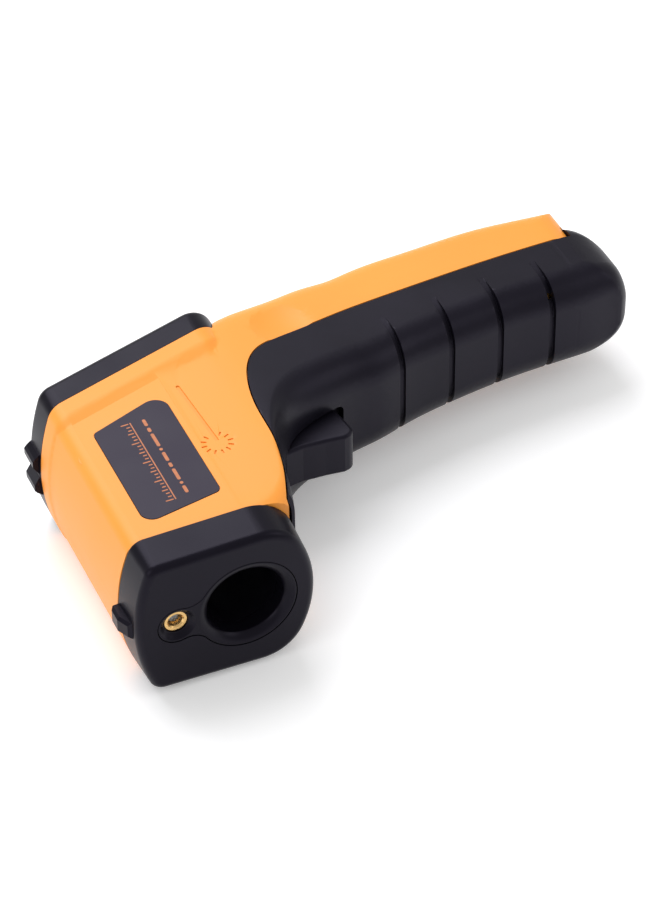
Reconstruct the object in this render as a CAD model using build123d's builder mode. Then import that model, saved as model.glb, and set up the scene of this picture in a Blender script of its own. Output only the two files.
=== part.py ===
"""Pistol-grip infrared thermometer, lying on its right side.

Frame: X runs along the height of the instrument (sights at -X, foot of the
handle at +X), Y runs along its barrel (muzzle at -Y, display at +Y) and Z is up,
through its thickness (its left side is on top).  Millimetres.
"""
import os
from math import cos, radians, sin, sqrt

from build123d import *

os.makedirs("parts", exist_ok=True)

# ------------------------------------------------------------------ dimensions
WIDTH = 41.5              # over the two caps, Z
ZC = WIDTH / 2            # mid plane
X_TOP = -80.0             # tips of the sights
X_FOOT = 84.0             # foot of the handle
X_MID = (X_TOP + X_FOOT) / 2      # goes to X = 0 in the finished sub-parts

Y_FRONT = -48.15          # muzzle face
Y_CAP = -37.5             # joint of the front cap
CAP_HALF = 20.75          # half width of the caps
BODY_HALF = 19.6          # half width of the orange barrel
WALL = 2.0
GAP = 0.25                # visible joint between covers

REAR_TILT = 16.5          # slope of the rear face
REAR_X0, REAR_Y0 = -50.25, 30.9      # a point on the outer rear face
REAR_BAND = 8.1           # depth of the rear bezel
FLANGE = 6.2              # depth of the raised band in front of it
BLEND = [(-12.4, 0.0), (-13.4, 0.12), (-14.5, 0.48), (-15.7, 0.92), (-17.0, 1.2), (-18.6, 1.34)]   # its soft edge

BORE_X = -49.5            # axis of the sensor funnel
BORE_R = 9.7
DISH_R = 12.7
LASER_X = -67.1           # axis of the laser
LASER_DISH_R = 5.4

DOOR_WALL = 2.0
CORE_IN = 2.6             # outside of the inner core, below the grip skin
CORE_WALL = 1.6
CORE_END = 13.0           # bulkhead between trigger bay and battery bay
PIVOT_X, PIVOT_Y = 76.3, 36.9        # hinge pin of the battery door
PIN_R = 0.75
LUG_R = 1.65

TRIG_X, TRIG_Y = -25.6, 0.6          # trigger pin
TRIG_PIN_R = 1.0
TRIG_HALF = 5.9
SLOT_HALF = 6.3

CELL_R = 5.25
CELL_L = 44.5
CELL_Z = 5.65             # half spacing of the two cells
CELL_Y = 21.4

KEY_TRAVEL = 0.6

# stations of the handle: X, front Y, back Y, half thickness, front radius, back radius
STATIONS = [
    (-53.0, -46.2, 22.5, 19.33, 14.0, 9.0),
    (-47.0, -45.6, 25.0, 19.42, 14.0, 9.0),
    (-42.0, -44.5, 27.0, 19.46, 14.0, 9.0),
    (-36.0, -41.4, 30.0, 19.45, 14.0, 9.0),
    (-32.5, -37.0, 32.2, 19.40, 14.0, 9.0),
    (-30.0, -28.5, 33.7, 19.32, 13.6, 9.0),
    (-27.5, -19.5, 35.0, 19.20, 13.0, 9.0),
    (-24.5, -12.3, 36.3, 18.98, 12.2, 9.0),
    (-20.0, -5.8, 37.9, 18.55, 11.0, 9.0),
    (-14.0, -1.6, 39.2, 17.95, 10.2, 9.0),
    (-6.0, 1.3, 40.8, 17.15, 9.6, 8.8),
    (4.0, 3.6, 42.7, 16.30, 9.2, 8.6),
    (16.0, 6.3, 44.7, 15.60, 9.0, 8.4),
    (30.0, 9.2, 46.6, 15.10, 9.0, 8.2),
    (44.0, 11.1, 47.8, 14.85, 9.0, 8.0),
    (58.0, 12.0, 48.15, 14.65, 9.0, 8.0),
    (70.0, 12.4, 47.4, 14.40, 8.6, 8.0),
    (84.5, 12.5, 43.8, 14.05, 8.2, 8.0),
]

# side view of the joint between the orange body and the black grip
SEAM = [(-33.8, -36.0), (-31.6, -29.8), (-30.0, -24.2), (-28.9, -18.5), (-28.4, -12.0),
        (-28.1, -4.0), (-27.0, 3.2), (-25.0, 9.6), (-22.2, 14.6), (-18.6, 17.9),
        (-14.4, 19.6), (-6.0, 21.7), (4.0, 24.2), (16.0, 26.4), (30.0, 28.2),
        (44.0, 29.6), (58.0, 30.6), (74.6, 31.4)]

GROOVES = [15.3, 30.4, 45.0, 60.1]

# --------------------------------------------------------------------- planes
S, C = sin(radians(REAR_TILT)), cos(radians(REAR_TILT))


def cross(y):
    """Plane across the barrel at y: local x = X, local y = Z from the mid plane, normal -Y."""
    return Plane(origin=(0, y, ZC), x_dir=(1, 0, 0), z_dir=(0, -1, 0))


def station(x):
    """Plane across the handle at x: local x = Y, local y = Z from the mid plane."""
    return Plane(origin=(x, 0, ZC), x_dir=(0, 1, 0), z_dir=(1, 0, 0))


def rear(depth):
    """Plane parallel to the rear face: local x = up the face, local y = Z, normal outward."""
    return Plane(origin=(REAR_X0 - S * depth, REAR_Y0 + C * depth, ZC),
                 x_dir=(-C, -S, 0), z_dir=(-S, C, 0))


SIDE = Plane(origin=(0, 0, ZC), x_dir=(1, 0, 0), z_dir=(0, 0, 1))


def side(dz):
    return SIDE.offset(dz)


def save(shape, name):
    """Write a sub-part with the middle of the whole height at X = 0."""
    placed = shape.moved(Location((-X_MID, 0, 0)))
    placed.label = name
    export_step(placed, "parts/%s.step" % name)
    print(name, round(placed.volume, 2), placed.is_valid, len(placed.solids()))


# ------------------------------------------------------------ shared envelopes
def barrel_section(y, x_top, x_bot, half, top_half, r_belly=32.0, r_low=12.3, inset=0.0):
    """Arched top, nearly parallel sides, flattened round belly."""
    r_top = 48.0
    w1, w2 = top_half - inset, half - inset
    xt, xb = x_top + inset, x_bot - inset
    s1 = r_top - sqrt(r_top ** 2 - w1 ** 2)
    s2 = r_belly - sqrt(r_belly ** 2 - w2 ** 2)
    with BuildSketch(cross(y)) as sk:
        with BuildLine():
            ThreePointArc((xt + s1, -w1), (xt, 0), (xt + s1, w1))
            Line((xt + s1, w1), (xb - s2, w2))
            ThreePointArc((xb - s2, w2), (xb, 0), (xb - s2, -w2))
            Line((xb - s2, -w2), (xt + s1, -w1))
        make_face()
        corners = sorted(sk.vertices(), key=lambda v: v.X)
        fillet(corners[:2], radius=max(4.2 - inset, 1.5))
        corners = sorted(sk.vertices(), key=lambda v: v.X)
        fillet(corners[-2:], radius=max(r_low - inset, 3.0))
    return sk.sketch


def body_section(y, inset=0.0):
    return barrel_section(y, -78.0, -32.3, BODY_HALF, 19.0, inset=inset)


def cap_section(y, inset=0.0):
    return barrel_section(y, -78.0, -31.6, CAP_HALF, 20.0, inset=inset)


def rear_section(y, inset=0.0):
    return barrel_section(y, -78.4, -22.3, CAP_HALF, 20.0, r_belly=55.0, r_low=7.5, inset=inset)


def prism(section, length):
    """Extrude a section of the barrel towards the display."""
    with BuildPart() as p:
        extrude(section, amount=length, dir=(0, 1, 0))
    return p.part


def between(solid, depth_in, depth_out):
    """Part of a solid between two planes parallel to the rear face."""
    with BuildPart() as p:
        add(solid)
        split(bisect_by=rear(depth_in), keep=Keep.TOP)
        split(bisect_by=rear(depth_out), keep=Keep.BOTTOM)
    return p.part


def handle_solid(inset, x_end):
    """Loft through the stations, drawn in by the given distance."""
    sketches = []
    for (x, f, b, h, rf, rb) in STATIONS:
        hh = h - inset
        with BuildSketch(station(x)) as sk:
            with BuildLine():
                Polyline((f + inset, -hh), (b - inset, -hh), (b - inset, hh), (f + inset, hh), close=True)
            make_face()
            corners = sorted(sk.vertices(), key=lambda v: v.Y)
            fillet(corners[:2], radius=max(rf - inset, 1.5))
            corners = sorted(sk.vertices(), key=lambda v: v.Y)
            fillet(corners[-2:], radius=max(rb - inset, 1.5))
        sketches.append(sk.sketch)
    with BuildPart() as lofted:
        loft(sections=sketches)
        split(bisect_by=Plane(origin=(x_end, 0, 0), x_dir=(0, 1, 0), z_dir=(1, 0, 0)), keep=Keep.BOTTOM)
    return lofted.part


def grown_seam(grow):
    """Seam points moved away from the grip by a distance."""
    pts = []
    for k, (x, y) in enumerate(SEAM):
        xa, ya = SEAM[max(k - 1, 0)]
        xb, yb = SEAM[min(k + 1, len(SEAM) - 1)]
        dx, dy = xb - xa, yb - ya
        n = sqrt(dx * dx + dy * dy)
        pts.append((x - dy / n * grow, y + dx / n * grow))
    pts[-1] = (SEAM[-1][0] - grow, pts[-1][1])
    return pts


def grip_zone(grow=0.0, x_min=None, x_max=None):
    """Everything in front of the seam, as a prism through the whole thickness."""
    pts = grown_seam(grow)
    r = 1.6 + grow
    with BuildSketch(side(-30)) as sk:
        with BuildLine():
            Spline(*pts)
            Line(pts[-1], (PIVOT_X - r, PIVOT_Y))
            ThreePointArc((PIVOT_X - r, PIVOT_Y),
                          (PIVOT_X - r * cos(radians(45)), PIVOT_Y + r * sin(radians(45))),
                          (PIVOT_X, PIVOT_Y + r))
            Line((PIVOT_X, PIVOT_Y + r), (100, PIVOT_Y + r))
            Line((100, PIVOT_Y + r), (100, -80))
            Line((100, -80), (pts[0][0], -80))
            Line((pts[0][0], -80), pts[0])
        make_face()
    with BuildPart() as zone:
        extrude(sk.sketch, amount=60)
        if x_min is not None:
            split(bisect_by=Plane(origin=(x_min, 0, 0), x_dir=(0, 1, 0), z_dir=(1, 0, 0)), keep=Keep.TOP)
        if x_max is not None:
            split(bisect_by=Plane(origin=(x_max, 0, 0), x_dir=(0, 1, 0), z_dir=(1, 0, 0)), keep=Keep.BOTTOM)
    return zone.part


def block(x0, x1, y0, y1, d0, d1):
    """Box between two X, two Y and two distances from the mid plane."""
    with BuildPart(SIDE) as p:
        with Locations(((x0 + x1) / 2, (y0 + y1) / 2, (d0 + d1) / 2)):
            Box(x1 - x0, y1 - y0, d1 - d0)
    return p.part


def post(x, y, r, d0, d1):
    """Cylinder across the thickness."""
    with BuildPart(SIDE) as p:
        with Locations((x, y, (d0 + d1) / 2)):
            Cylinder(r, d1 - d0)
    return p.part


def tube_along(points, radius):
    """Round wire through points given in X, Y, Z."""
    with BuildPart() as p:
        with BuildLine() as path:
            Spline(*points)
        with BuildSketch(Plane(origin=path.line @ 0, z_dir=path.line % 0)):
            Circle(radius)
        sweep(path=path.line)
    return p.part


def coil(center, axis_plane, radius, wire, pitch, height):
    """Helical spring; the plane gives its axis."""
    helix = axis_plane.location * Helix(pitch=pitch, height=height, radius=radius)
    with BuildPart() as p:
        with BuildSketch(Plane(origin=helix @ 0, z_dir=helix % 0)):
            Circle(wire)
        sweep(path=helix, is_frenet=True)
    return p.part


handle_out = handle_solid(0.0, X_FOOT)
handle_skin = handle_solid(DOOR_WALL, 83.0)
handle_core = handle_solid(CORE_IN, CORE_END)
handle_core_in = handle_solid(CORE_IN + CORE_WALL, CORE_END - CORE_WALL)
handle_lip = handle_solid(WALL - 0.1, CORE_END)
handle_cavity = handle_solid(WALL, 72.3)

# dome of the foot: X, front Y, back Y, half thickness, front radius, back radius
DOME = [
    (66.0, 12.0, 40.4, 14.80, 9.0, 7.0),
    (71.0, 12.15, 39.9, 14.45, 9.0, 7.0),
    (75.0, 12.35, 39.2, 13.85, 9.0, 7.0),
    (78.2, 12.75, 37.9, 12.75, 8.8, 7.0),
    (80.8, 13.5, 35.0, 11.1, 8.2, 6.8),
    (82.6, 14.9, 31.2, 8.7, 6.6, 6.0),
    (83.6, 16.7, 27.2, 5.8, 4.6, 4.4),
    (84.0, 18.6, 23.8, 2.7, 2.1, 2.1),
]
dome_sections = []
for (x, f, b, h, rf, rb) in DOME:
    with BuildSketch(station(x)) as sk:
        with BuildLine():
            Polyline((f, -h), (b, -h), (b, h), (f, h), close=True)
        make_face()
        fillet(sk.vertices().sort_by(Axis.Y)[:2], radius=rf)
        fillet(sk.vertices().sort_by(Axis.Y)[-2:], radius=rb)
    dome_sections.append(sk.sketch)
with BuildPart() as foot_round:
    loft(sections=dome_sections)
    split(bisect_by=Plane(origin=(67.0, 0, 0), x_dir=(0, 1, 0), z_dir=(1, 0, 0)), keep=Keep.TOP)
    add(block(-90, 67.0, -90, 90, -60, 60))

# rounded end of the orange spine behind it, as seen from the side and from the front
with BuildSketch(side(-40)) as spine_side:
    with BuildLine():
        Polyline((77.7, 38.0), (90, 38.0), (90, -90), (-90, -90), (-90, 90), (69.5, 90), (69.5, 49.6))
        Spline((69.5, 49.6), (72.4, 48.4), (74.6, 46.6), (76.2, 43.6), (77.2, 40.6), (77.7, 38.0))
    make_face()
with BuildSketch(cross(90)) as spine_front:
    with BuildLine():
        Polyline((66.0, -14.9), (66.0, -60), (-90, -60), (-90, 60), (66.0, 60), (66.0, 14.9))
        Spline((66.0, 14.9), (71.0, 14.1), (74.2, 12.7), (76.2, 10.2), (77.4, 6.2), (77.8, 0), (77.4, -6.2),
               (76.2, -10.2), (74.2, -12.7), (71.0, -14.1), (66.0, -14.9))
    make_face()
with BuildPart() as spine_round:
    extrude(spine_side.sketch, amount=80)
    extrude(spine_front.sketch, amount=180, mode=Mode.INTERSECT)


def rear_slice(depth, inset):
    """Outline of the rear end cut parallel to the display."""
    return section(prism(rear_section(-30, inset=inset), 120), section_by=rear(depth))


# ------------------------------------------------------------- orange housing
with BuildPart() as outer:
    add(prism(body_section(Y_CAP + 0.15), 100))
    split(bisect_by=rear(-REAR_BAND - 0.15), keep=Keep.BOTTOM)
    add(between(prism(rear_section(-30), 100), BLEND[0][0], -REAR_BAND - 0.15))
    loft(sections=[rear_slice(d, i) for (d, i) in BLEND])
    add(handle_out)
    add(spine_round.part, mode=Mode.INTERSECT)
    split(bisect_by=Plane(origin=(0, Y_CAP + 0.15, 0), x_dir=(1, 0, 0), z_dir=(0, 1, 0)), keep=Keep.TOP)
    # seat of the rear bezel
    add(between(prism(rear_section(-30, inset=-0.2), 120), -REAR_BAND - 0.15, 30), mode=Mode.SUBTRACT)

with BuildPart() as cavity:
    add(prism(body_section(Y_CAP - 2, inset=WALL), 100))
    split(bisect_by=rear(-REAR_BAND - FLANGE + WALL), keep=Keep.BOTTOM)
    add(between(prism(rear_section(-30, inset=WALL + 0.4), 100), -REAR_BAND - FLANGE + WALL, 5))
    add(handle_cavity)
    split(bisect_by=Plane(origin=(0, Y_CAP - 2, 0), x_dir=(1, 0, 0), z_dir=(0, 1, 0)), keep=Keep.TOP)

# inner core that carries the trigger and closes the handle below the grip
with BuildPart() as core:
    add(handle_core)
    split(bisect_by=Plane(origin=(-31.0, 0, 0), x_dir=(0, 1, 0), z_dir=(1, 0, 0)), keep=Keep.TOP)
    add(grip_zone(3.0), mode=Mode.INTERSECT)
    add(handle_core_in, mode=Mode.SUBTRACT)
    add(block(-26.4, 3.0, -40, 9.0, -SLOT_HALF - 0.5, SLOT_HALF + 0.5), mode=Mode.SUBTRACT)

with BuildPart() as lip:
    add(handle_lip)
    split(bisect_by=Plane(origin=(-31.0, 0, 0), x_dir=(0, 1, 0), z_dir=(1, 0, 0)), keep=Keep.TOP)
    add(grip_zone(3.0), mode=Mode.INTERSECT)
    add(grip_zone(GAP + 0.1), mode=Mode.SUBTRACT)
    add(handle_solid(CORE_IN + 0.2, CORE_END), mode=Mode.SUBTRACT)

# bosses for the screws that join the two halves: X, Y, half thickness there
BOSSES = [(-71.0, -4.0, 19.0), (-37.0, 3.0, 19.4), (6.0, 32.6, 16.1), (68.0, 38.5, 14.4)]


def label_zone(grow, d0, d1):
    """Prism with the outline of the side label."""
    with BuildSketch(side(d0)) as sk:
        with BuildLine():
            Polyline((-68.0, 2.75), (-68.0, -32.1), (-47.7, -28.75), (-47.7, 9.95), close=True)
        make_face()
        corners = sorted(sk.vertices(), key=lambda v: (v.X, v.Y))
        fillet([corners[1], corners[2]], radius=1.6)
        corners = [v for v in sk.vertices() if abs(v.X + 68.0) < 0.01 and v.Y < -31]
        fillet(corners, radius=3.2)
        corners = [v for v in sk.vertices() if abs(v.X + 47.7) < 0.01 and v.Y > 9.5]
        fillet(corners, radius=3.6)
        if grow:
            offset(amount=grow)
    with BuildPart() as p:
        extrude(sk.sketch, amount=d1 - d0)
    return p.part


# engraved aiming mark on both sides: a bar that ends in a ring of short rays
MARK_X, MARK_Y, MARK_R = -42.1, -12.7, 3.35
with BuildSketch(side(-30)) as mark:
    with BuildLine():
        Polyline((-43.55, 10.6), (-42.55, 10.6), (-41.3, MARK_Y + 0.9), (-42.2, MARK_Y + 0.9), close=True)
    make_face()
    with Locations((-43.05, 10.6)):
        Circle(0.5)
    for k in range(11):
        ang = 90 + 32 + k * 29.6
        with Locations((MARK_X + MARK_R * cos(radians(ang)), MARK_Y + MARK_R * sin(radians(ang)))):
            SlotOverall(1.5, 0.5, rotation=ang)
with BuildPart() as mark_cut:
    extrude(mark.sketch, amount=60)
    add(prism(body_section(-40, inset=0.3), 90), mode=Mode.SUBTRACT)
    add(handle_solid(0.3, 0.0), mode=Mode.SUBTRACT)

with BuildPart() as shell:
    add(outer.part)
    add(cavity.part, mode=Mode.SUBTRACT)
    add(grip_zone(GAP + 0.1), mode=Mode.SUBTRACT)
    add(core.part)
    add(lip.part)
    # end wall of the spine and the two hinge lugs
    add(label_zone(0.15, -30, 30) - prism(body_section(-40, inset=0.3), 90), mode=Mode.SUBTRACT)
    add(mark_cut.part, mode=Mode.SUBTRACT)
    # pry scoops beside the grip
    for d in (-1, 1):
        with Locations((-6.8, 24.9, ZC + d * (17.3 + 29.0))):
            Sphere(30, mode=Mode.SUBTRACT)
print("shell", round(shell.part.volume), shell.part.is_valid, len(shell.part.solids()))

with BuildPart() as bosses:
    for (x, y, h) in BOSSES:
        add(post(x, y, 3.1, -h + 0.8, h - 0.8))
    # seats of the trigger pin
    add(post(TRIG_X, TRIG_Y, 2.6, SLOT_HALF + 0.15, 15.8))
    add(post(TRIG_X, TRIG_Y, 2.6, -15.8, -SLOT_HALF - 0.15))
    # hinge lugs of the battery door
    for d in (-1, 1):
        add(block(72.6, PIVOT_X, PIVOT_Y - LUG_R, PIVOT_Y + LUG_R, d * 4.8 - 1.8, d * 4.8 + 1.8))
        add(post(PIVOT_X, PIVOT_Y, LUG_R, d * 4.8 - 1.8, d * 4.8 + 1.8))
    # ribs that hold the trigger switch
    add(block(-8.6, -6.9, 19.6, 22.0, -14.2, 14.2))
    add(block(2.0, 3.7, 19.6, 24.0, -13.3, 13.3))

with BuildPart() as housing:
    add(shell.part)
    add(bosses.part)
    for (x, y, h) in BOSSES:
        add(post(x, y, 1.25, -h - 2, 10.4), mode=Mode.SUBTRACT)
        add(post(x, y, 2.5, -h - 3, -h + 4.0), mode=Mode.SUBTRACT)
    add(post(TRIG_X, TRIG_Y, TRIG_PIN_R, -9.5, 9.5), mode=Mode.SUBTRACT)
    add(post(PIVOT_X, PIVOT_Y, PIN_R, -12, 12), mode=Mode.SUBTRACT)
print("housing", round(housing.part.volume), housing.part.is_valid, len(housing.part.solids()))

with BuildPart() as housing_left:
    add(housing.part)
    split(bisect_by=SIDE, keep=Keep.TOP)
with BuildPart() as housing_right:
    add(housing.part)
    split(bisect_by=SIDE, keep=Keep.BOTTOM)
save(housing_left.part, "housing_left")
save(housing_right.part, "housing_right")



# ------------------------------------------------------------------ front cap
def snowman(y, grow=0.0, length=1.0):
    """Outline round the funnel and the laser dish, extruded towards the muzzle."""
    r1, r2, blend = DISH_R + grow, LASER_DISH_R - 0.2 + grow, 5.0 - grow
    d = BORE_X - LASER_X
    u = (d * d + (r1 + blend) ** 2 - (r2 + blend) ** 2) / (2 * d)
    v = sqrt((r1 + blend) ** 2 - u * u)
    cx = BORE_X - u
    # tangent points on the two circles
    t1 = (BORE_X - u * r1 / (r1 + blend), v * r1 / (r1 + blend))
    t2 = (LASER_X + (d - u) * r2 / (r2 + blend), v * r2 / (r2 + blend))
    with BuildSketch(cross(y)) as sk:
        with BuildLine():
            ThreePointArc(t1, (BORE_X + r1, 0), (t1[0], -t1[1]))
            ThreePointArc((t1[0], -t1[1]), (cx, -(v - blend)), (t2[0], -t2[1]))
            ThreePointArc((t2[0], -t2[1]), (LASER_X - r2, 0), t2)
            ThreePointArc(t2, (cx, v - blend), t1)
        make_face()
    with BuildPart() as p:
        extrude(sk.sketch, amount=length, dir=(0, -1, 0))
    return p.part


with BuildPart() as front_cap:
    extrude(cap_section(Y_CAP), amount=Y_CAP - Y_FRONT, taper=3.4)
    fillet(front_cap.faces().sort_by(Axis.Y)[0].edges(), radius=2.0)
    fillet(front_cap.faces().sort_by(Axis.Y)[-1].edges(), radius=0.4)
    # lip that enters the housing
    extrude(body_section(Y_CAP + 2.6, inset=WALL + 0.25), amount=4.0)
    # hollow
    extrude(body_section(Y_CAP + 3.0, inset=WALL + 1.5), amount=5.0, mode=Mode.SUBTRACT)
    extrude(cap_section(Y_CAP - 1.8, inset=3.0), amount=Y_CAP - 1.8 - (Y_FRONT + 2.5), mode=Mode.SUBTRACT)
    add(snowman(Y_FRONT + 5, 0.0, 8), mode=Mode.SUBTRACT)
    # bead round the insert, inside
    # front sight
    with BuildSketch(side(-2.4)):
        with BuildLine():
            Polyline((-76.6, -37.7), (-79.5, -37.9), (X_TOP, -38.6), (X_TOP, -42.2), (-78.6, -45.2),
                     (-76.2, -46.0), close=True)
        make_face()
    extrude(amount=4.8)
    chamfer(front_cap.edges().filter_by(lambda e: e.center().X < -79.0 and abs(abs(e.center().Z - ZC) - 2.4) < 0.05
                                        and e.length > 2), length=0.7)
save(front_cap.part, "front_cap")

with BuildPart() as nose_insert:
    add(snowman(Y_FRONT + 2.7, -0.2, 2.65))
    add(snowman(Y_FRONT + 4.2, 1.3, 1.6))
    # sensor funnel and laser holder
    with BuildSketch(cross(Y_FRONT + 8.0)):
        with Locations((BORE_X, 0)):
            Circle(12.4)
        with Locations((LASER_X, 0)):
            Circle(4.4)
    extrude(amount=4.0)
    with BuildSketch(cross(Y_FRONT + 16.0)):
        with Locations((LASER_X, 0)):
            Circle(4.4)
    extrude(amount=12.0)
    # dish of the funnel
    with BuildSketch(Plane(origin=(BORE_X, 0, ZC), x_dir=(1, 0, 0), z_dir=(0, 0, 1))):
        with BuildLine():
            Polyline((0, Y_FRONT - 1), (12.1, Y_FRONT - 1), (12.1, Y_FRONT + 0.05))
            ThreePointArc((12.1, Y_FRONT + 0.05), (10.6, Y_FRONT + 0.75), (BORE_R, Y_FRONT + 1.9))
            Polyline((BORE_R, Y_FRONT + 1.9), (BORE_R, Y_FRONT + 5.5), (10.9, Y_FRONT + 5.5),
                     (10.9, Y_FRONT + 9), (0, Y_FRONT + 9), (0, Y_FRONT - 1))
        make_face()
    revolve(axis=Axis((BORE_X, 0, ZC), (0, 1, 0)), revolution_arc=360, mode=Mode.SUBTRACT)
    # dish and bore of the laser
    with BuildSketch(Plane(origin=(LASER_X, 0, ZC), x_dir=(1, 0, 0), z_dir=(0, 0, 1))):
        with BuildLine():
            Polyline((0, Y_FRONT - 1), (4.5, Y_FRONT - 1), (4.5, Y_FRONT + 0.05), (3.25, Y_FRONT + 1.3),
                     (3.02, Y_FRONT + 1.3), (3.02, Y_FRONT + 17), (0, Y_FRONT + 17), close=True)
        make_face()
    revolve(axis=Axis((LASER_X, 0, ZC), (0, 1, 0)), revolution_arc=360, mode=Mode.SUBTRACT)
save(nose_insert.part, "nose_insert")


def turned(x_axis, profile):
    """Body of revolution about a line parallel to the barrel; profile in radius, Y."""
    with BuildSketch(Plane(origin=(x_axis, 0, ZC), x_dir=(1, 0, 0), z_dir=(0, 0, 1))) as sk:
        with BuildLine():
            Polyline(*profile, close=True)
        make_face()
    with BuildPart() as p:
        revolve(sk.sketch, axis=Axis((x_axis, 0, ZC), (0, 1, 0)), revolution_arc=360)
    return p.part


YT = Y_FRONT + 5.6        # front of the sensor tube
with BuildPart() as sensor_tube:
    add(turned(BORE_X, [(9.7, YT), (10.8, YT), (10.8, YT + 24), (4.4, YT + 24), (4.4, YT + 22.5),
                        (8.4, YT + 22.5), (8.4, YT + 18.2), (9.7, YT + 18.2)]))
save(sensor_tube.part, "sensor_tube")
with BuildPart() as fresnel_lens:
    add(turned(BORE_X, [(0, YT + 17.0), (9.6, YT + 17.0), (9.6, YT + 18.2), (0, YT + 18.2)]))
    for r in (2.0, 3.6, 5.2, 6.8):
        add(turned(BORE_X, [(r, YT + 16.0), (r + 0.5, YT + 16.0), (r + 0.5, YT + 17.35), (r, YT + 17.0)]),
            mode=Mode.SUBTRACT)
save(fresnel_lens.part, "fresnel_lens")
with BuildPart() as lens_ring:
    add(turned(BORE_X, [(8.2, YT + 15.6), (9.65, YT + 15.6), (9.65, YT + 17.0), (8.2, YT + 17.0)]))
save(lens_ring.part, "lens_ring")
with BuildPart() as thermopile:
    add(turned(BORE_X, [(1.4, YT + 20.6), (4.1, YT + 20.6), (4.1, YT + 25.2), (4.7, YT + 25.2), (4.7, YT + 26.0),
                        (0, YT + 26.0), (0, YT + 21.1), (1.4, YT + 21.1)]))
save(thermopile.part, "thermopile")
with BuildPart() as sensor_board:
    with BuildSketch(cross(YT + 27.6)):
        with Locations((BORE_X, 0)):
            RectangleRounded(24, 22, 2.0)
    extrude(amount=1.6)
save(sensor_board.part, "sensor_board")

YL = Y_FRONT + 1.7        # mouth of the laser tube
with BuildPart() as laser_barrel:
    add(turned(LASER_X, [(1.75, YL + 0.35), (2.1, YL), (2.8, YL), (3.02, YL + 0.25), (3.02, YL + 14.8),
                         (1.2, YL + 14.8), (1.2, YL + 3.2), (1.75, YL + 3.2)]))
save(laser_barrel.part, "laser_barrel")
with BuildPart() as laser_lens:
    with BuildSketch(cross(YL + 3.2)):
        with Locations((LASER_X, 0)):
            Circle(1.75)
    extrude(amount=1.7)
    fillet(laser_lens.faces().sort_by(Axis.Y)[0].edges(), radius=0.7)
save(laser_lens.part, "laser_lens")
with BuildPart() as laser_board:
    with BuildSketch(cross(YL + 16.0)):
        with Locations((LASER_X, 0)):
            RectangleRounded(9, 12, 1.0)
    extrude(amount=1.2)
save(laser_board.part, "laser_board")

# ------------------------------------------------------------------- rear cap
LCD_X, LCD_W, LCD_H = 7.2, 29.0, 24.0        # along the face, across, along
KEY_ROW = -12.4
KEYS = {"key_unit": -11.0, "key_laser": 0.0, "key_light": 11.0}
SCREW_SPOTS = [(23.6, -9.5), (23.6, 9.5), (-19.6, -11.5), (-19.6, 11.5)]
BOARD_TOP = -6.9

with BuildPart() as rear_cap:
    add(between(prism(rear_section(-30), 120), -REAR_BAND, 0.0))
    fillet(rear_cap.faces().sort_by(Axis((0, 0, 0), (-S, C, 0)))[-1].edges(),
           radius=2.6)
    add(between(prism(rear_section(-30, inset=WALL + 0.75), 120), -REAR_BAND - 2.0, -REAR_BAND + 1.0))
    add(between(prism(rear_section(-30, inset=WALL + 1.6), 120), -REAR_BAND - 4.0, -REAR_BAND + 1.0),
        mode=Mode.SUBTRACT)
    add(between(prism(rear_section(-30, inset=2.6), 120), -REAR_BAND + 0.4, -2.0), mode=Mode.SUBTRACT)
    # screw bosses for the display board
    with BuildSketch(rear(BOARD_TOP)):
        with Locations(*SCREW_SPOTS):
            Circle(1.9)
    extrude(amount=-BOARD_TOP - 1.5)
    with BuildSketch(rear(BOARD_TOP)):
        with Locations(*SCREW_SPOTS):
            Circle(0.9)
    extrude(amount=4.0, mode=Mode.SUBTRACT)
    # display window with its ledge
    with BuildSketch(rear(-1.3)):
        with Locations((LCD_X, 0)):
            RectangleRounded(LCD_H + 0.2, LCD_W + 0.2, 2.1)
    extrude(amount=3.0, mode=Mode.SUBTRACT)
    with BuildSketch(rear(-3.0)):
        with Locations((LCD_X, 0)):
            RectangleRounded(LCD_H - 3.0, LCD_W - 3.0, 1.2)
    extrude(amount=3.0, mode=Mode.SUBTRACT)
    # key holes
    with BuildSketch(rear(-3.0)):
        with Locations(*[(KEY_ROW, y) for y in KEYS.values()]):
            RectangleRounded(6.6, 8.6, 2.4)
    extrude(amount=6.0, mode=Mode.SUBTRACT)
    # rear sight: two bumps with a notch between them
    with BuildSketch(cross(21.2)):
        with BuildLine():
            Polyline((-76.5, -6.4), (-78.2, -6.4), (-79.4, -5.4), (X_TOP, -4.6), (X_TOP, -2.9), (-78.5, -0.5),
                     (-78.5, 0.5), (X_TOP, 2.9), (X_TOP, 4.6), (-79.4, 5.4), (-78.2, 6.4), (-76.5, 6.4), close=True)
        make_face()
    extrude(amount=6.2)
save(rear_cap.part, "rear_cap")

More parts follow.
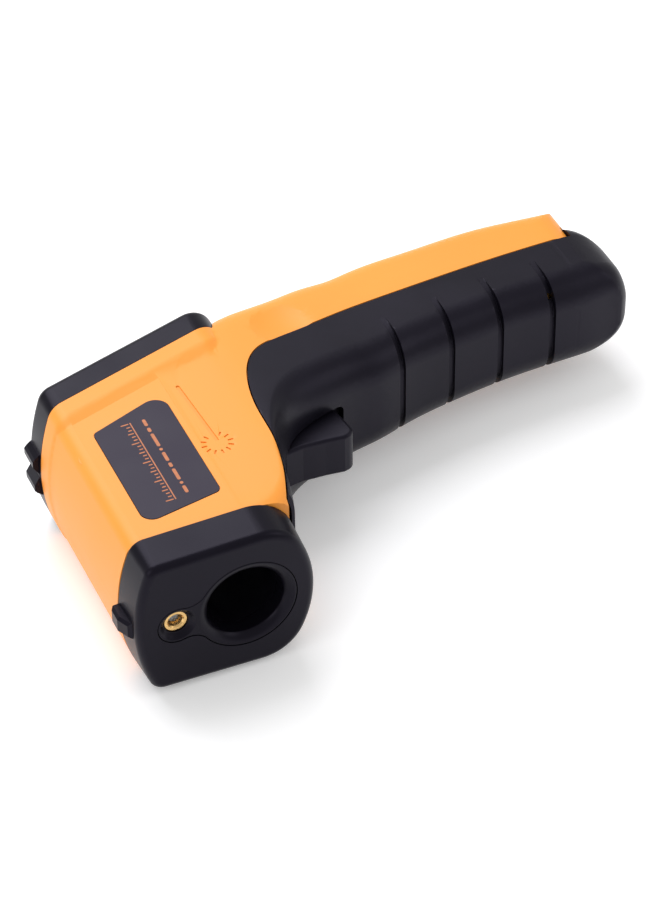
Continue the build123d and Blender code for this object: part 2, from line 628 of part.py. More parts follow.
with BuildPart() as lcd_window:
    with BuildSketch(rear(-1.3)):
        with Locations((LCD_X, 0)):
            RectangleRounded(LCD_H, LCD_W, 2.0)
    extrude(amount=1.2)
save(lcd_window.part, "lcd_window")
with BuildPart() as lcd_panel:
    with BuildSketch(rear(-4.1)):
        with Locations((LCD_X, 0)):
            RectangleRounded(LCD_H - 0.6, LCD_W - 1.0, 0.5)
    extrude(amount=2.0)
save(lcd_panel.part, "lcd_panel")
with BuildPart() as lcd_backlight:
    with BuildSketch(rear(BOARD_TOP)):
        with Locations((LCD_X, 0)):
            RectangleRounded(LCD_H - 0.6, LCD_W - 1.0, 0.8)
    extrude(amount=-4.1 - BOARD_TOP)
save(lcd_backlight.part, "lcd_backlight")
with BuildPart() as display_board:
    with BuildSketch(rear(BOARD_TOP - 1.6)):
        with Locations((2.0, 0)):
            RectangleRounded(46.2, 30.2, 3.0)
        with Locations(*SCREW_SPOTS):
            Circle(1.15, mode=Mode.SUBTRACT)
    extrude(amount=1.6)
save(display_board.part, "display_board")
with BuildPart() as board_screws:
    for (x, y) in SCREW_SPOTS:
        with BuildSketch(rear(BOARD_TOP - 3.0)):
            with Locations((x, y)):
                Circle(1.6)
        extrude(amount=1.4)
        with BuildSketch(rear(BOARD_TOP - 1.7)):
            with Locations((x, y)):
                Circle(0.8)
        extrude(amount=5.3)
        with BuildSketch(rear(BOARD_TOP - 3.0)):
            with Locations((x, y)):
                Rectangle(2.2, 0.5)
                Rectangle(0.5, 2.2)
        extrude(amount=0.7, mode=Mode.SUBTRACT)
save(board_screws.part, "board_screws")
with BuildPart() as board_components:
    with BuildSketch(rear(BOARD_TOP - 1.6)):
        with Locations((8, -4)):
            Rectangle(10, 10)
        with Locations((-4, 5.5)):
            Rectangle(5, 4)
        with Locations((14, 9), (11, 9), (8, 9)):
            Rectangle(1.6, 3.0)
    extrude(amount=-1.5)
    with BuildSketch(rear(BOARD_TOP - 1.6)):
        with Locations((-1.2, -3.0)):
            Circle(2.0)
    extrude(amount=-4.5)
    with BuildSketch(rear(BOARD_TOP - 1.6)):
        with Locations((18, -3)):
            RectangleRounded(3.6, 10.4, 1.7)
    extrude(amount=-3.4)
save(board_components.part, "board_components")
with BuildPart() as buzzer:
    with BuildSketch(rear(BOARD_TOP - 1.6)):
        with Locations((-10.5, -9.8)):
            Circle(4.75)
    extrude(amount=-4.6)
    with BuildSketch(rear(BOARD_TOP - 1.6 - 4.6)):
        with Locations((-10.5, -9.8)):
            Circle(0.9)
    extrude(amount=1.2, mode=Mode.SUBTRACT)
save(buzzer.part, "buzzer")
with BuildPart() as key_switches:
    for y in KEYS.values():
        with BuildSketch(rear(BOARD_TOP)):
            with Locations((KEY_ROW, y)):
                RectangleRounded(5.0, 5.0, 0.4)
        extrude(amount=1.4)
        with BuildSketch(rear(BOARD_TOP + 1.4)):
            with Locations((KEY_ROW, y)):
                Circle(1.2)
        extrude(amount=0.5)
save(key_switches.part, "key_switches")
for name, y in KEYS.items():
    with BuildPart() as key:
        with BuildSketch(rear(-2.3 - 1.0)):
            with Locations((KEY_ROW, y)):
                RectangleRounded(8.4, 10.2, 3.0)
        extrude(amount=1.0)
        with BuildSketch(rear(-2.4)):
            with Locations((KEY_ROW, y)):
                RectangleRounded(6.0, 8.0, 2.1)
        extrude(amount=2.4 + 0.9)
        fillet(key.faces().sort_by(Axis((0, 0, 0), (-S, C, 0)))[-1].edges(), radius=0.6)
        with BuildSketch(rear(BOARD_TOP + 1.9 + KEY_TRAVEL + 0.3)):
            with Locations((KEY_ROW, y)):
                Circle(1.3)
        extrude(amount=1.5)
    save(key.part, name)


# --------------------------------------------------------------- battery door
def groove_core(x):
    """Shape left inside a finger groove: deep at the front, running out on the sides."""
    k = max(i for i in range(len(STATIONS) - 1) if STATIONS[i][0] <= x)
    a, b = STATIONS[k], STATIONS[k + 1]
    t = (x - a[0]) / (b[0] - a[0])
    f, h = a[1] + t * (b[1] - a[1]), a[3] + t * (b[3] - a[3])
    with BuildSketch(station(x - 3)) as sk:
        with BuildLine():
            Spline((f + 19, h + 0.8), (f + 12, h - 0.15), (f + 6.5, h - 1.6), (f + 2.2, h - 6.0), (f + 0.95, 0),
                   (f + 2.2, -h + 6.0), (f + 6.5, -h + 1.6), (f + 12, -h + 0.15), (f + 19, -h - 0.8))
            Polyline((f + 19, -h - 0.8), (f + 40, -h - 0.8), (f + 40, h + 0.8), (f + 19, h + 0.8))
        make_face()
    with BuildPart() as p:
        extrude(sk.sketch, amount=6)
    return p.part


with BuildPart() as grip_inside:
    add(handle_skin)
    add(foot_round.part.moved(Location((-2.3, 0, 0))), mode=Mode.INTERSECT)
    add(block(74.6, 90, 34.2, 60, -30, 30), mode=Mode.SUBTRACT)

with BuildPart() as battery_door:
    add(handle_out)
    add(grip_zone(0.0), mode=Mode.INTERSECT)
    split(bisect_by=Plane(origin=(0, Y_CAP + 3.0, 0), x_dir=(1, 0, 0), z_dir=(0, 1, 0)), keep=Keep.TOP)
    add(foot_round.part, mode=Mode.INTERSECT)
    add(grip_inside.part, mode=Mode.SUBTRACT)
    # finger grooves
    for x in GROOVES:
        add(block(x - 0.9, x + 0.9, -20, 60, -30, 30) - groove_core(x), mode=Mode.SUBTRACT)
    # window of the trigger
    with BuildSketch(Plane(origin=(0, 12, ZC), x_dir=(1, 0, 0), z_dir=(0, -1, 0))):
        with Locations((-13.25, 0)):
            RectangleRounded(21.1, 2 * SLOT_HALF, 2.0)
    extrude(amount=60, mode=Mode.SUBTRACT)
    # room for the hinge lugs and the pin
    for d in (-1, 1):
        add(block(70, PIVOT_X + LUG_R + 0.3, PIVOT_Y - LUG_R - 0.35, 60, d * 4.8 - 2.1, d * 4.8 + 2.1),
            mode=Mode.SUBTRACT)
    add(post(PIVOT_X, PIVOT_Y, PIN_R + 0.05, -8.4, 8.4), mode=Mode.SUBTRACT)
save(battery_door.part, "battery_door")

with BuildPart() as door_pin:
    add(post(PIVOT_X, PIVOT_Y, PIN_R, -8.2, 8.2))
save(door_pin.part, "door_pin")

# -------------------------------------------------------------------- trigger
with BuildPart() as trigger:
    with BuildSketch(side(-TRIG_HALF)) as prof:
        with BuildLine():
            Polyline((-22.7, -8.6), (-18.0, -7.9), (-12.0, -8.2), (-7.2, -8.8), (-3.9, -8.0), (-4.6, -2.0), (-6.2, 3.6),
                     (-6.2, 8.9), (-8.6, 8.9), (-9.4, 4.4), (-19.0, 2.8), (-24.0, 2.9), (-27.4, 2.0),
                     (-27.9, -1.4), close=True)
        make_face()
        pick = [v for v in prof.vertices() if v.X > -4.5 and v.Y < -7]
        fillet(pick, radius=2.6)
    extrude(amount=2 * TRIG_HALF)
    fillet([e for e in trigger.edges() if abs(abs(e.center().Z - ZC) - TRIG_HALF) < 0.01
            and e.center().Y < -1.0 and e.center().X > -22.5], radius=0.9)
    # tongue that closes the gap at the end of the window
    add(block(-7.5, 0.6, 5.6, 6.8, -5.6, 5.6))
    # bore, and the pocket of the spring
    add(post(TRIG_X, TRIG_Y, TRIG_PIN_R + 0.06, -10, 10), mode=Mode.SUBTRACT)
    add(post(TRIG_X, TRIG_Y, 2.7, -1.9, 1.9), mode=Mode.SUBTRACT)
    add(block(-31, -14.0, 0.0, 8, -1.9, 1.9), mode=Mode.SUBTRACT)
save(trigger.part, "trigger")
with BuildPart() as trigger_pin:
    add(post(TRIG_X, TRIG_Y, TRIG_PIN_R, -9.4, 9.4))
save(trigger_pin.part, "trigger_pin")
with BuildPart() as trigger_spring:
    add(coil(None, Plane(origin=(TRIG_X, TRIG_Y, ZC - 1.2), x_dir=(1, 0, 0), z_dir=(0, 0, 1)), 1.85, 0.28, 0.6, 2.4))
    with BuildSketch(Plane(origin=(TRIG_X + 1.85, TRIG_Y, ZC - 1.2), x_dir=(1, 0, 0), z_dir=(0, 1, 0))):
        Circle(0.28)
    extrude(amount=9.6)
save(trigger_spring.part, "trigger_spring")

with BuildPart() as trigger_switch:
    add(block(-6.6, 1.9, 12.6, 19.4, -2.9, 2.9))
    add(block(-7.4, -5.2, 12.0, 12.6, -0.9, 0.9))
    add(block(-5.0, -4.6, 19.4, 21.4, -1.0, 1.0))
    add(block(-0.6, -0.2, 19.4, 21.4, -1.0, 1.0))
save(trigger_switch.part, "trigger_switch")

# ------------------------------------------------------------------ batteries
TX0, TX1 = 15.0, 67.7
TIN0, TIN1 = TX0 + 1.2, TX1 - 1.2
FLOOR = CELL_Y + CELL_R + 0.15
with BuildPart() as battery_tray:
    add(block(TX0, TX1, FLOOR, FLOOR + 1.3, -11.9, 11.9))
    add(block(TX0, TX1, 19.7, FLOOR, 11.05, 11.9))
    add(block(TX0, TX1, 19.7, FLOOR, -11.9, -11.05))
    add(block(TX0, TIN0, 19.7, FLOOR, -11.9, 11.9))
    add(block(TIN1, TX1, 19.7, FLOOR, -11.9, 11.9))
    add(block(TX0, TIN0, 17.6, FLOOR, -9.6, 9.6))
    add(block(TIN1, TX1, 17.6, FLOOR, -9.6, 9.6))
    add(block(TIN0 + 8, TIN1 - 8, 22.4, FLOOR, -0.35, 0.35))
    # feet that stand on the back of the spine
    add(block(20.0, 22.0, FLOOR + 1.3, 42.0, -9.5, 9.5))
    add(block(56.0, 58.0, FLOOR + 1.3, 45.0, -9.5, 9.5))
save(battery_tray.part, "battery_tray")


def cell(x_bottom, direction, dz):
    """AAA cell; direction +1 puts its pip towards the foot."""
    with BuildSketch(Plane(origin=(x_bottom, CELL_Y, ZC + dz), x_dir=(0, 1, 0), z_dir=(direction, 0, 0))) as a:
        Circle(CELL_R - 0.05)
    with BuildPart() as p:
        extrude(a.sketch, amount=CELL_L - 1.0)
        fillet(p.edges(), radius=0.5)
        with BuildSketch(Plane(origin=(x_bottom + direction * (CELL_L - 1.2), CELL_Y, ZC + dz), x_dir=(0, 1, 0),
                               z_dir=(direction, 0, 0))):
            Circle(1.9)
        extrude(amount=1.2)
    return p.part


SPRING_L = 4.6
with BuildPart() as cell_a:
    add(cell(TIN0 + 0.4 + SPRING_L, 1, CELL_Z))
save(cell_a.part, "cell_a")
with BuildPart() as cell_b:
    add(cell(TIN1 - 0.4 - SPRING_L, -1, -CELL_Z))
save(cell_b.part, "cell_b")
with BuildPart() as contact_plates:
    add(block(TIN1 - 0.4, TIN1, 18.0, FLOOR - 0.2, -9.6, 9.6))
    add(block(TIN0, TIN0 + 0.4, 18.0, FLOOR - 0.2, -9.6, -1.2))
    add(block(TIN0, TIN0 + 0.4, 18.0, FLOOR - 0.2, 1.2, 9.6))
save(contact_plates.part, "contact_plates")
with BuildPart() as contact_springs:
    for (x, dz, zd) in ((TIN0 + 0.4 + 0.3, CELL_Z, 1), (TIN1 - 0.4 - 0.3, -CELL_Z, -1)):
        add(coil(None, Plane(origin=(x, CELL_Y, ZC + dz), x_dir=(0, 1, 0), z_dir=(zd, 0, 0)), 2.6, 0.28,
                 (SPRING_L - 0.6) / 4, SPRING_L - 0.6))
save(contact_springs.part, "contact_springs")

# -------------------------------------------------------------------- screws
with BuildPart() as housing_screws:
    for (x, y, h) in BOSSES:
        add(post(x, y, 2.3, -h + 2.3, -h + 4.0))
        add(post(x, y, 1.1, -h + 4.0, 10.0))
        add(block(x - 1.4, x + 1.4, y - 0.3, y + 0.3, -h + 2.2, -h + 3.1), mode=Mode.SUBTRACT)
        add(block(x - 0.3, x + 0.3, y - 1.4, y + 1.4, -h + 2.2, -h + 3.1), mode=Mode.SUBTRACT)
save(housing_screws.part, "housing_screws")

# --------------------------------------------------------------------- labels
label_film = prism(body_section(-40, inset=-0.12), 90) - prism(body_section(-41, inset=0.3), 92)
with BuildPart() as label_left:
    add(label_zone(0.0, 5, 30))
    add(label_film, mode=Mode.INTERSECT)
save(label_left.part, "label_left")
with BuildPart() as label_right:
    add(label_zone(0.0, -30, -5))
    add(label_film, mode=Mode.INTERSECT)
save(label_right.part, "label_right")


# ---------------------------------------------------------------------- leads
def on_board(x, y, depth=0.0):
    """Point on the inner face of the display board."""
    p = rear(BOARD_TOP - 1.6 - depth).from_local_coords((x, y, 0))
    return (p.X, p.Y, p.Z)


R_WIRE = 0.55
with BuildPart() as battery_leads:
    add(tube_along([(TX0 + 1.8, FLOOR + 1.9, ZC + 6.4), (13.5, 36.4, ZC + 6.4), (6, 37.7, ZC + 6.4),
                    (-5, 36.3, ZC + 6.0), (-15, 31.5, ZC + 5), (-26, 22, ZC + 5), on_board(-17.0, 4.6, 0.6)], R_WIRE))
    add(tube_along([(TX0 + 1.8, FLOOR + 1.9, ZC + 4.4), (13.5, 36.8, ZC + 4.4), (6, 38.2, ZC + 4.4),
                    (-5, 36.8, ZC + 4.2), (-15, 32.0, ZC + 3.2), (-26.5, 22, ZC + 3.2), on_board(-17.0, 2.6, 0.6)],
                   R_WIRE))
save(battery_leads.part, "battery_leads")
with BuildPart() as trigger_leads:
    add(tube_along([(-0.4, 22.0, ZC + 1.2), (-4, 28, ZC + 0.8), (-16, 28, ZC - 0.6), (-27, 20, ZC - 1.2),
                    on_board(-18.0, -0.6, 0.6)], R_WIRE))
    add(tube_along([(-4.8, 22.0, ZC - 1.2), (-8, 26, ZC - 1.4), (-17, 26, ZC - 2.4), (-28, 18.5, ZC - 3.2),
                    on_board(-18.0, -2.8, 0.6)], R_WIRE))
save(trigger_leads.part, "trigger_leads")
with BuildPart() as sensor_leads:
    for k in range(3):
        z = ZC + 8.0 - 1.6 * k
        add(tube_along([(-52.0, YT + 28.3, z), (-51, -2, z + 1), (-50, 8, z + 1), on_board(-2.0, 13.4 - 1.6 * k, 0.6)],
                       R_WIRE))
save(sensor_leads.part, "sensor_leads")
with BuildPart() as laser_leads:
    for k in range(2):
        z = ZC + 1.0 - 2.0 * k
        add(tube_along([(-68.6, YL + 16.7, z), (-66.0, -24, z + 1), (-63.5, -5, z + 2), (-63, 5, z + 3),
                        on_board(19.0, 13.4 - 2.0 * k, 0.6)], R_WIRE))
save(laser_leads.part, "laser_leads")
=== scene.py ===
"""Looks of the infrared thermometer: materials, printed details, studio and camera.  Metres."""
import math

import bmesh
import bpy
from mathutils import Matrix, Vector


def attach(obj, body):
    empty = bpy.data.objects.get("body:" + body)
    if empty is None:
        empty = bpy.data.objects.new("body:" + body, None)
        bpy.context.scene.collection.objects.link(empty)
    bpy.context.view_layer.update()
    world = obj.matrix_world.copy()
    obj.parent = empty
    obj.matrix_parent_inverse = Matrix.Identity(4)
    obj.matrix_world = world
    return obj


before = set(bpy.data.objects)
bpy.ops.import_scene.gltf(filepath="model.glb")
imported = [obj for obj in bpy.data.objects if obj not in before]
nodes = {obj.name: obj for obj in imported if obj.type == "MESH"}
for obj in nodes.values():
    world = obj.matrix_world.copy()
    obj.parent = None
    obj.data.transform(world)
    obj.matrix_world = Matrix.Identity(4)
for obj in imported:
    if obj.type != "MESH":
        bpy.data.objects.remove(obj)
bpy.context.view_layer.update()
scene = bpy.context.scene

MM = 0.001
ZC = 20.75                      # mid plane of the instrument, mm
TILT = math.radians(16.5)       # slope of the rear face
S, C = math.sin(TILT), math.cos(TILT)


# ------------------------------------------------------------------ materials
def material(name, color, rough, metallic=0.0, grain=1800.0, bump=0.12, depth=0.00003, var=0.06, rough_var=0.05,
             blotch=60.0, specular=0.5, coat=0.0, coat_rough=0.1, sheen=0.0, transmission=0.0, ior=1.5, alpha=1.0,
             subsurface=0.0, tint=None):
    """Moulded or machined surface: slow colour drift, roughness drift and a fine tool texture."""
    m = bpy.data.materials.new(name)
    m.use_nodes = True
    nt = m.node_tree
    for n in list(nt.nodes):
        nt.nodes.remove(n)
    out = nt.nodes.new("ShaderNodeOutputMaterial")
    bsdf = nt.nodes.new("ShaderNodeBsdfPrincipled")
    nt.links.new(bsdf.outputs["BSDF"], out.inputs["Surface"])
    co = nt.nodes.new("ShaderNodeTexCoord")
    slow = nt.nodes.new("ShaderNodeTexNoise")
    slow.inputs["Scale"].default_value = blotch
    slow.inputs["Detail"].default_value = 4.0
    nt.links.new(co.outputs["Object"], slow.inputs["Vector"])
    ramp = nt.nodes.new("ShaderNodeValToRGB")
    lo = [max(0.0, c * (1.0 - var)) for c in color]
    hi = [min(1.0, c * (1.0 + var)) for c in color]
    ramp.color_ramp.elements[0].position = 0.3
    ramp.color_ramp.elements[0].color = (*lo, 1.0)
    ramp.color_ramp.elements[1].position = 0.7
    ramp.color_ramp.elements[1].color = (*hi, 1.0)
    nt.links.new(slow.outputs["Fac"], ramp.inputs["Fac"])
    nt.links.new(ramp.outputs["Color"], bsdf.inputs["Base Color"])
    fine = nt.nodes.new("ShaderNodeTexNoise")
    fine.inputs["Scale"].default_value = grain
    fine.inputs["Detail"].default_value = 3.0
    nt.links.new(co.outputs["Object"], fine.inputs["Vector"])
    rr = nt.nodes.new("ShaderNodeMapRange")
    rr.inputs["From Min"].default_value = 0.3
    rr.inputs["From Max"].default_value = 0.7
    rr.inputs["To Min"].default_value = max(0.02, rough - rough_var)
    rr.inputs["To Max"].default_value = min(1.0, rough + rough_var)
    nt.links.new(slow.outputs["Fac"], rr.inputs["Value"])
    nt.links.new(rr.outputs["Result"], bsdf.inputs["Roughness"])
    if bump:
        b = nt.nodes.new("ShaderNodeBump")
        b.inputs["Strength"].default_value = bump
        b.inputs["Distance"].default_value = depth
        nt.links.new(fine.outputs["Fac"], b.inputs["Height"])
        nt.links.new(b.outputs["Normal"], bsdf.inputs["Normal"])
    bsdf.inputs["Metallic"].default_value = metallic
    bsdf.inputs["Specular IOR Level"].default_value = specular
    bsdf.inputs["IOR"].default_value = ior
    bsdf.inputs["Coat Weight"].default_value = coat
    bsdf.inputs["Coat Roughness"].default_value = coat_rough
    bsdf.inputs["Sheen Weight"].default_value = sheen
    bsdf.inputs["Transmission Weight"].default_value = transmission
    bsdf.inputs["Alpha"].default_value = alpha
    if tint:
        bsdf.inputs["Specular Tint"].default_value = (*tint, 1.0)
    if subsurface:
        bsdf.inputs["Subsurface Weight"].default_value = subsurface
        bsdf.inputs["Subsurface Scale"].default_value = 0.004
        bsdf.inputs["Subsurface Radius"].default_value = (1.0, 0.45, 0.15)
    return m


M = {
    "orange": material("orange_moulded", (0.90, 0.325, 0.042), 0.44, grain=2600, bump=0.10, var=0.025, blotch=35, specular=0.34),
    "cap": material("black_cap", (0.0038, 0.0032, 0.0062), 0.34, grain=2400, bump=0.14, var=0.2, blotch=50, specular=0.15, tint=(0.82, 0.76, 1.0)),
    "grip": material("black_grip", (0.0040, 0.0034, 0.0066), 0.38, grain=2200, bump=0.20, var=0.2, blotch=50, specular=0.21, tint=(0.82, 0.76, 1.0)),
    "insert": material("black_insert", (0.0035, 0.0030, 0.0055), 0.33, grain=2400, bump=0.10, var=0.2, blotch=60, specular=0.15, tint=(0.82, 0.76, 1.0)),
    "label": material("label_film", (0.024, 0.0195, 0.030), 0.42, grain=5200, bump=0.08, var=0.12, blotch=80, specular=0.2, tint=(0.85, 0.8, 1.0)),
    "print": material("label_print", (0.50, 0.17, 0.07), 0.5, grain=5200, bump=0.10, var=0.15, blotch=900, specular=0.3),
    "brass": material("brass_turned", (0.78, 0.50, 0.20), 0.24, metallic=1.0, grain=3500, bump=0.2, depth=0.00002, var=0.12, blotch=400),
    "steel": material("steel_zinc", (0.55, 0.55, 0.56), 0.3, metallic=1.0, grain=3000, bump=0.15, depth=0.00002, var=0.08, blotch=300),
    "nickel": material("nickel_plate", (0.68, 0.65, 0.60), 0.22, metallic=1.0, grain=3000, bump=0.1, depth=0.00002, var=0.08, blotch=300),
    "window": material("window_acrylic", (0.86, 0.90, 0.90), 0.06, grain=900, bump=0.02, var=0.03, rough_var=0.02, transmission=0.9, ior=1.49),
    "lens": material("laser_lens_glass", (0.92, 0.95, 0.97), 0.04, grain=900, bump=0.0, var=0.02, rough_var=0.02, transmission=0.85, ior=1.5),
    "fresnel": material("fresnel_poly", (0.30, 0.31, 0.30), 0.32, grain=1500, bump=0.1, var=0.06, blotch=200, transmission=0.0),
    "lcd": material("lcd_glass", (0.36, 0.40, 0.33), 0.18, grain=6000, bump=0.03, var=0.05, blotch=90, specular=0.5),
    "white": material("light_guide", (0.80, 0.80, 0.76), 0.4, grain=1500, bump=0.05, var=0.04, blotch=90),
    "rubber": material("key_rubber", (0.045, 0.046, 0.052), 0.62, grain=3000, bump=0.2, var=0.12, blotch=150, specular=0.35),
    "board": material("solder_mask", (0.015, 0.13, 0.045), 0.33, grain=2500, bump=0.1, var=0.15, blotch=500, coat=0.3),
    "chip": material("chip_epoxy", (0.02, 0.02, 0.022), 0.5, grain=4000, bump=0.2, var=0.15, blotch=400),
    "cell": material("cell_wrap", (0.05, 0.055, 0.06), 0.25, grain=900, bump=0.03, var=0.1, blotch=120, coat=0.5),
    "ink": material("display_segments", (0.020, 0.024, 0.022), 0.45, grain=5200, bump=0.05, var=0.1, blotch=500),
    "icon": material("key_print", (0.72, 0.72, 0.70), 0.5, grain=5200, bump=0.08, var=0.05, blotch=900),
    "wrap_band": material("cell_band", (0.55, 0.30, 0.06), 0.28, metallic=0.6, grain=900, bump=0.03, var=0.08, blotch=120),
    "wire": material("wire_pvc", (0.45, 0.03, 0.02), 0.4, grain=900, bump=0.06, var=0.1, blotch=300),
}
USE = {
    "housing_left": "orange", "housing_right": "orange", "front_cap": "cap", "rear_cap": "cap",
    "nose_insert": "insert", "sensor_tube": "insert", "lens_ring": "insert", "fresnel_lens": "fresnel",
    "thermopile": "nickel", "sensor_board": "board", "laser_barrel": "brass", "laser_lens": "lens",
    "laser_board": "board", "lcd_window": "window", "lcd_panel": "lcd", "lcd_backlight": "white",
    "display_board": "board", "board_screws": "steel", "board_components": "chip", "buzzer": "chip",
    "key_switches": "nickel", "door_pin": "steel", "trigger_pin": "steel", "trigger_switch": "chip",
    "battery_tray": "cap", "cell_a": "cell", "cell_b": "cell", "contact_plates": "nickel",
    "contact_springs": "nickel", "housing_screws": "steel", "label_left": "label", "label_right": "label",
    "battery_leads": "wire", "trigger_leads": "wire", "sensor_leads": "wire", "laser_leads": "wire",
    "battery_door": "grip", "trigger": "grip", "trigger_spring": "steel",
    "key_unit": "rubber", "key_laser": "rubber", "key_light": "rubber",
}
for name, obj in nodes.items():
    mat = M[USE[name]]
    if not obj.data.materials:
        obj.data.materials.append(mat)
    for k in range(len(obj.data.materials)):
        obj.data.materials[k] = mat

# small moulding radii on the edges of the visible covers
EDGE = {"housing_left": 0.18, "housing_right": 0.18, "front_cap": 0.18, "rear_cap": 0.18, "battery_door": 0.28,
        "trigger": 0.2, "nose_insert": 0.15, "key_unit": 0.1, "key_laser": 0.1, "key_light": 0.1}
for name, width in EDGE.items():
    o = nodes[name]
    weld = o.modifiers.new("weld", "WELD")
    weld.merge_threshold = 0.000004
    bev = o.modifiers.new("edge_radius", "BEVEL")
    bev.width = width * MM
    bev.segments = 2
    bev.limit_method = "ANGLE"
    bev.angle_limit = math.radians(38)
    bev.harden_normals = False
    bev.use_clamp_overlap = True
    wn = o.modifiers.new("normals", "WEIGHTED_NORMAL")
    wn.keep_sharp = True

# ------------------------------------------------------------ printed details
def plates(name, mat, outlines, place, low, high, body):
    """Thin raised shapes: each outline is a list of (u, v) in mm, put in space by place(u, v, w)."""
    bm = bmesh.new()
    for pts in outlines:
        bottom = [bm.verts.new(Vector(place(u, v, low)) * MM) for (u, v) in pts]
        top = [bm.verts.new(Vector(place(u, v, high)) * MM) for (u, v) in pts]
        n = len(pts)
        bm.faces.new(top)
        bm.faces.new(list(reversed(bottom)))
        for k in range(n):
            bm.faces.new((bottom[k], bottom[(k + 1) % n], top[(k + 1) % n], top[k]))
    bmesh.ops.recalc_face_normals(bm, faces=bm.faces)
    mesh = bpy.data.meshes.new(name)
    bm.to_mesh(mesh)
    bm.free()
    mesh.materials.append(mat)
    o = bpy.data.objects.new(name, mesh)
    scene.collection.objects.link(o)
    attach(o, body)
    return o


def bar(u0, v0, u1, v1, width):
    """Straight bar with slightly clipped ends."""
    a, b = Vector((u0, v0)), Vector((u1, v1))
    d = (b - a).normalized()
    n = Vector((-d.y, d.x)) * width / 2
    c = d * width * 0.3
    return [tuple(a + c - n), tuple(b - c - n), tuple(b - n * 0.4), tuple(b + n * 0.4), tuple(b - c + n), tuple(a + c + n),
            tuple(a + n * 0.4), tuple(a - n * 0.4)]


def disc(u, v, r, count=20):
    return [(u + r * math.cos(2 * math.pi * k / count), v + r * math.sin(2 * math.pi * k / count)) for k in range(count)]


def on_left(u, v, w):
    """Point on the left side label; w is the height over the film."""
    return (u, v, ZC + 19.0 + (u + 76.08) * 0.0171 + 0.12 + w)


def on_right(u, v, w):
    x, y, z = on_left(u, v, w)
    return (x, y, 2 * ZC - z)


def on_rear(u, v, w):
    """Point on a plane parallel to the display: u up the face, v across, w depth from its outer face."""
    return (-50.25 - 2.0 - S * w - C * u, 30.9 + C * w - S * u, ZC + v)


def on_display(u, v, w):
    """The same with v towards the right hand of a user behind the display."""
    return on_rear(u, -v, w)


def scale_rows():
    """A plain tick scale and a row of bars of uneven length."""
    out = []
    for k in range(25):
        y = -27.0 + k * 1.23
        long = 2.0 if k % 6 == 0 else (1.5 if k % 3 == 0 else 1.0)
        out.append(bar(-61.0, y, -61.0 - long, y, 0.36))
    out.append(bar(-60.55, -27.25, -60.55, 2.8, 0.30))
    y = -26.2
    for n in (2.6, 0.9, 4.2, 1.6, 3.4, 0.9, 5.0, 1.6, 2.6):
        out.append(bar(-57.2, y, -57.2, y + n, 0.85))
        y += n + 0.75
    return out


plates("label_print_left", M["print"], scale_rows(), on_left, -0.02, 0.03, "root")
plates("label_print_right", M["print"], scale_rows(), on_right, -0.02, 0.03, "root")


def digit(shape, u, v, h, w, t):
    """Seven-segment numeral, u is its foot and v its left edge as seen from behind."""
    segs = {"a": (h, 0, h, w), "b": (h, w, h / 2, w), "c": (h / 2, w, 0, w), "d": (0, 0, 0, w), "e": (h / 2, 0, 0, 0),
            "f": (h, 0, h / 2, 0), "g": (h / 2, 0, h / 2, w)}
    out = []
    for s in shape:
        a, b, c, d = segs[s]
        du, dv = c - a, d - b
        n = math.hypot(du, dv)
        g = t * 0.35
        out.append(bar(u + a + du / n * g, v + b + dv / n * g, u + c - du / n * g, v + d - dv / n * g, t))
    return out


def readout():
    out = []
    for k, shape in enumerate(("abged", "fgbc", "afgcd")):
        out += digit(shape, 2.2, -10.6 + k * 6.9, 8.2, 4.3, 0.95)
    out.append(disc(2.2, 7.9 - 0.15, 0.55))
    out.append(bar(14.4, -11.0, 14.4, -6.8, 0.5))
    out.append(bar(16.4, -11.0, 16.4, -6.8, 0.5))
    out.append(bar(14.4, -11.0, 16.4, -11.0, 0.5))
    out.append(bar(14.4, -6.8, 16.4, -6.8, 0.5))
    out.append(bar(14.9, -10.2, 15.9, -10.2, 0.7))
    out.append(bar(14.9, -8.9, 15.9, -8.9, 0.7))
    for k in range(9):
        out.append(bar(-1.9, -10.6 + k * 2.6, -1.9, -9.2 + k * 2.6, 0.55))
    return out


plates("display_readout", M["ink"], readout(), on_display, -2.11, -2.06, "root")


def key_icons(kind):
    u, v = -12.4, {"unit": -11.0, "laser": 0.0, "light": 11.0}[kind]
    if kind == "unit":
        return [bar(u - 1.2, v - 1.5, u + 1.2, v - 0.3, 0.35), bar(u + 1.2, v + 0.5, u + 1.2, v + 1.5, 0.35),
                bar(u - 1.2, v + 0.5, u - 1.2, v + 1.5, 0.35)]
    if kind == "laser":
        out = [disc(u, v, 0.45)]
        for k in range(8):
            a = k * math.pi / 4
            out.append(bar(u + 0.85 * math.cos(a), v + 0.85 * math.sin(a), u + 1.55 * math.cos(a), v + 1.55 * math.sin(a), 0.26))
        return out
    return [disc(u + 0.35, v, 0.95), bar(u - 0.95, v - 0.5, u - 0.95, v + 0.5, 0.3), bar(u - 1.4, v - 0.35, u - 1.4, v + 0.35, 0.3)]


for kind in ("unit", "laser", "light"):
    centre = {"unit": -11.0, "laser": 0.0, "light": 11.0}[kind]

    def on_key(u, v, w, centre=centre):
        return on_rear(u, 2 * centre - v, w)

    plates("icon_" + kind, M["icon"], key_icons(kind), on_key, 0.88, 0.93, "key_" + kind)


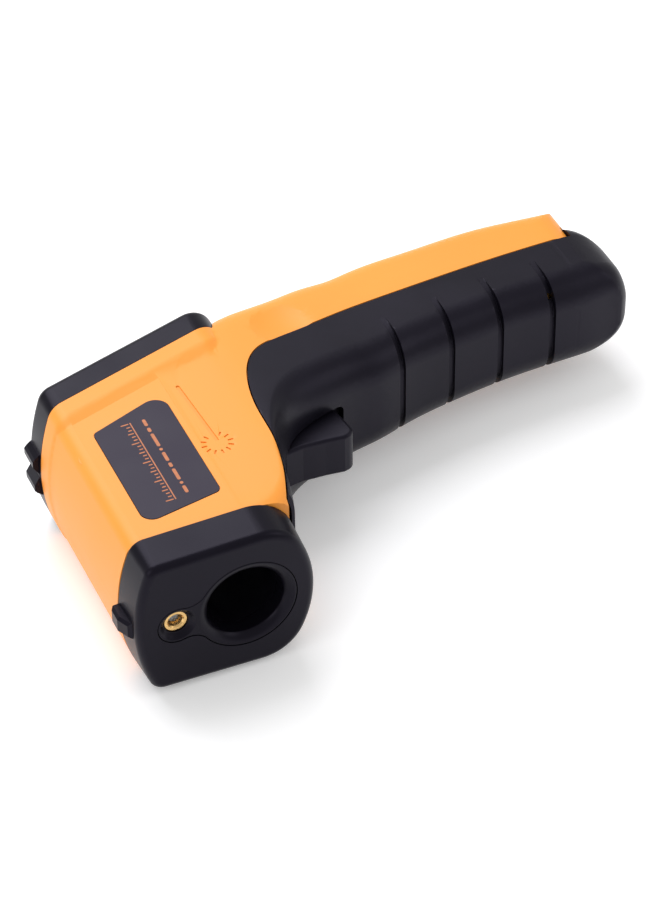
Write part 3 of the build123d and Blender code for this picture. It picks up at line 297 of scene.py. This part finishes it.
def band(name, x0, x1, dz):
    """Coloured end of a cell's wrap."""
    bm = bmesh.new()
    r, n = 5.225, 64
    rings = []
    for x in (x0, x1):
        rings.append([bm.verts.new(Vector((x, 21.4 + r * math.cos(2 * math.pi * k / n), ZC + dz + r * math.sin(2 * math.pi * k / n))) * MM)
                      for k in range(n)])
    for k in range(n):
        bm.faces.new((rings[0][k], rings[0][(k + 1) % n], rings[1][(k + 1) % n], rings[1][k]))
    bmesh.ops.recalc_face_normals(bm, faces=bm.faces)
    mesh = bpy.data.meshes.new(name)
    bm.to_mesh(mesh)
    bm.free()
    for p in mesh.polygons:
        p.use_smooth = True
    mesh.materials.append(M["wrap_band"])
    o = bpy.data.objects.new(name, mesh)
    scene.collection.objects.link(o)
    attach(o, "root")
    return o


band("wrap_band_a", 48.0, 60.0, 5.65)
band("wrap_band_b", 18.0 + 1.5, 31.5, -5.65)

# --------------------------------------------------------------------- studio
def plain(name, color, rough):
    m = material(name, color, rough, grain=400, bump=0.0, var=0.01, blotch=5)
    return m


bpy.ops.mesh.primitive_plane_add(size=6.0, location=(0, 0, -0.0002))
floor = bpy.context.object
floor.name = "studio_floor"
floor_mat = plain("studio_white", (0.93, 0.93, 0.93), 0.9)
floor_bsdf = [n for n in floor_mat.node_tree.nodes if n.type == "BSDF_PRINCIPLED"][0]
floor_bsdf.inputs["Emission Color"].default_value = (1.0, 1.0, 1.0, 1.0)
floor_bsdf.inputs["Emission Strength"].default_value = 0.22
floor.data.materials.append(floor_mat)

world = bpy.data.worlds.new("studio")
scene.world = world
world.use_nodes = True
wnt = world.node_tree
bg = wnt.nodes["Background"]
bg.inputs["Color"].default_value = (1.0, 1.0, 1.0, 1.0)
bg.inputs["Strength"].default_value = 0.62


def area(name, loc, target, size, power, color=(1, 1, 1), size_y=None):
    data = bpy.data.lights.new(name, "AREA")
    data.energy = power
    data.color = color
    data.shape = "RECTANGLE"
    data.size = size
    data.size_y = size_y or size
    o = bpy.data.objects.new(name, data)
    scene.collection.objects.link(o)
    o.location = loc
    o.rotation_mode = "QUATERNION"
    o.rotation_quaternion = (Vector(target) - Vector(loc)).to_track_quat("-Z", "Y")
    return o


area("key_softbox", (-0.10, 0.46, 0.68), (0, 0, 0.02), 0.7, 6.0, (0.96, 0.96, 1.0))
area("fill_left", (-0.9, -0.3, 0.5), (0, 0, 0.02), 0.5, 1.6, (1.0, 0.99, 0.98))
area("fill_right", (0.8, -0.4, 0.6), (0, 0, 0.02), 0.5, 1.0, (1.0, 1.0, 1.0))

# --------------------------------------------------------------------- camera
AZ, EL, ROLL = math.radians(-23.15), math.radians(40.98), math.radians(-0.77)
back = Vector((math.sin(AZ) * math.cos(EL), -math.cos(AZ) * math.cos(EL), math.sin(EL)))
right0 = Vector((math.cos(AZ), math.sin(AZ), 0.0))
up0 = back.cross(right0)
right = right0 * math.cos(ROLL) + up0 * math.sin(ROLL)
up = up0 * math.cos(ROLL) - right0 * math.sin(ROLL)
cam_data = bpy.data.cameras.new("camera")
cam = bpy.data.objects.new("camera", cam_data)
scene.collection.objects.link(cam)
cam.rotation_mode = "QUATERNION"
cam.rotation_quaternion = Matrix((right, up, back)).transposed().to_quaternion()
cam.location = Vector((-11.51, 2.25 - 7.0, 20.0)) * MM + back * 836.23 * MM
cam_data.sensor_width = 36.0
cam_data.lens = 3384.75 / 900.0 * 36.0
cam_data.clip_start = 0.05
cam_data.clip_end = 20.0
scene.camera = cam
scene.view_settings.view_transform = "Standard"
scene.view_settings.look = "None"
